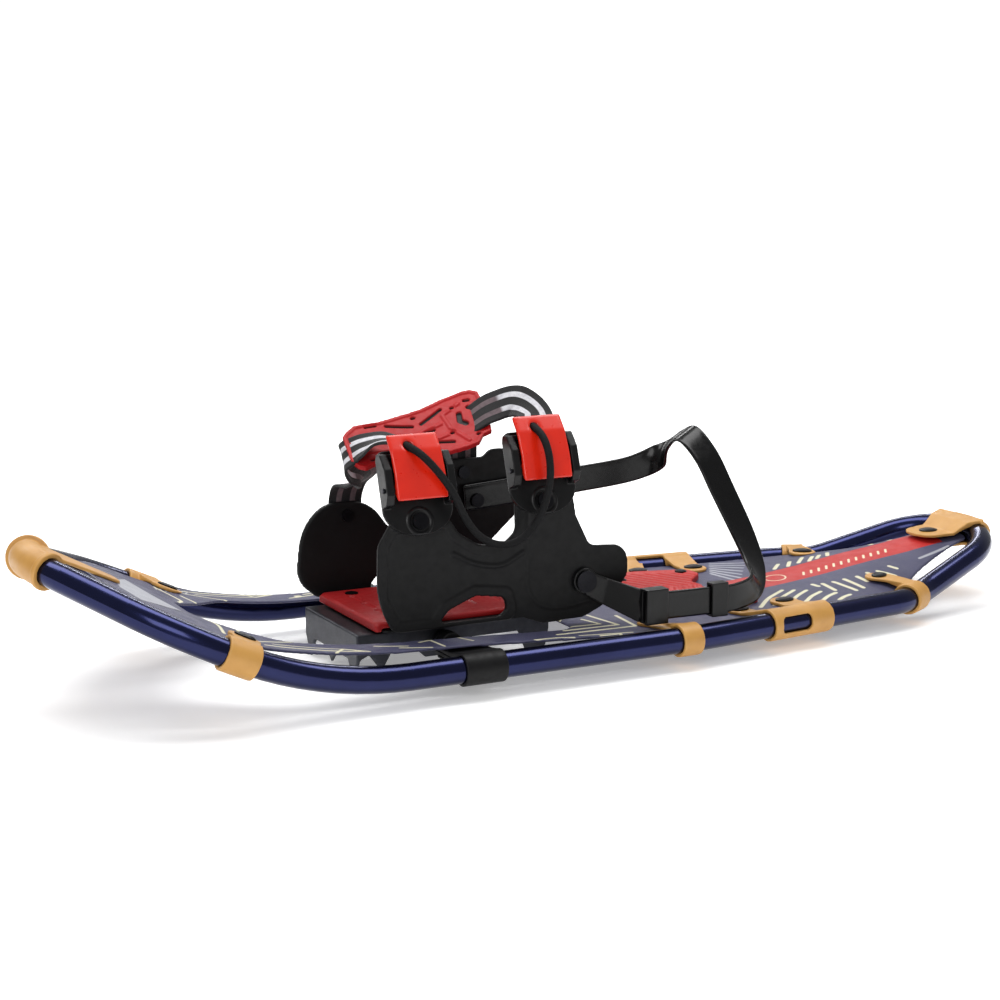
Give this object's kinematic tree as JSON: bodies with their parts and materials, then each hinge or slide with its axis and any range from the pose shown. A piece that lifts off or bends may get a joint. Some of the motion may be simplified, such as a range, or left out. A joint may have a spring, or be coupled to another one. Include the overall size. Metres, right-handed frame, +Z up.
{
  "type": "snowshoe",
  "caption": "Tubular-framed snowshoe with a sheet deck, toe and heel crampons, and a pivoting binding closed by webbing, cam buckles and a rubber heel strap.",
  "frame": {"origin": "bottom centre of the bounding box, on the ground under the teeth", "axes": "+X from toe to tail, +Y to the wearer's right, +Z up"},
  "size_m": [0.7668, 0.2338, 0.1881],
  "materials": {
    "tube": "navy anodised, glossy",
    "deck": "printed sheet, satin",
    "wrap": "moulded, satin",
    "red_pad": "moulded, satin",
    "red_lever": "moulded, gloss",
    "black_plastic": "moulded, satin",
    "webbing": "woven, black with white stripes",
    "cord": "braided",
    "strap": "smooth, glossy",
    "steel": "dark coated steel",
    "rivet": "dark coated steel",
    "bright": "bright wire"
  },
  "bodies": {
    "frame": {"frame_tube": "tube", "tube_splice": "tube", "toe_wrap": "wrap", "tail_wrap": "wrap", "deck": "deck", "heel_pad": "red_pad", "heel_crampon": "steel", "front_clip_left": "wrap", "front_clip_right": "wrap", "side_clip_left": "wrap", "side_clip_right": "wrap", "window_clip_left": "wrap", "window_clip_right": "wrap", "rear_clip_left": "wrap", "rear_clip_right": "wrap", "deck_rivets": "rivet", "pivot_strap_left": "black_plastic", "pivot_strap_right": "black_plastic", "pivot_block_left": "black_plastic", "pivot_block_right": "black_plastic", "pivot_strap_rivets": "rivet", "pivot_rod": "steel", "pivot_washers": "steel"},
    "binding": {"pivot_bushes": "black_plastic", "toe_crampon": "steel", "base_plate": "black_plastic", "foot_plate": "red_pad", "base_bolts": "rivet", "base_nuts": "steel", "left_wing": "black_plastic", "right_wing": "black_plastic", "front_buckle": "black_plastic", "rear_buckle": "black_plastic", "front_cam_pin": "steel", "rear_cam_pin": "steel", "front_lever_spring": "bright", "rear_lever_spring": "bright", "front_strap": "webbing", "rear_strap": "webbing", "instep_pad": "red_pad", "heel_strap": "strap", "binding_rivets": "rivet", "heel_buckle_rivet": "rivet"},
    "front_lever": {"front_lever": "red_lever", "pull_cord": "cord"},
    "rear_lever": {"rear_lever": "red_lever"},
    "heel_buckle": {"heel_buckle": "black_plastic"},
    "strap_keeper": {"strap_keeper": "black_plastic"}
  },
  "joints": [
    {"name": "binding_pivot", "type": "hinge", "parent": "frame", "child": "binding", "pos_m": [-0.108, 0, 0.024], "axis": [0, -1, 0], "range_deg": [0, 48]},
    {"name": "front_lever_hinge", "type": "hinge", "parent": "binding", "child": "front_lever", "pos_m": [-0.131, -0.0616, 0.1316], "axis": [1, 0, 0], "range_deg": [0, 42], "stiffness_Nm_per_rad": 0.06, "deforming": ["pull_cord"]},
    {"name": "rear_lever_hinge", "type": "hinge", "parent": "binding", "child": "rear_lever", "pos_m": [-0.0385, -0.0616, 0.1376], "axis": [1, 0, 0], "range_deg": [0, 42], "stiffness_Nm_per_rad": 0.06, "deforming": ["pull_cord"]},
    {"name": "heel_buckle_swivel", "type": "hinge", "parent": "binding", "child": "heel_buckle", "pos_m": [-0.007, -0.062, 0.057], "axis": [0, -1, 0], "range_deg": [0, 20], "deforming": ["heel_strap"]},
    {"name": "strap_keeper_slide", "type": "slide", "parent": "heel_buckle", "child": "strap_keeper", "axis": [1, 0, 0], "range_m": [-0.025, 0.006]}
  ],
  "couplings": [
    {"joint": "rear_lever_hinge", "follows": "front_lever_hinge", "ratio": 1}
  ]
}
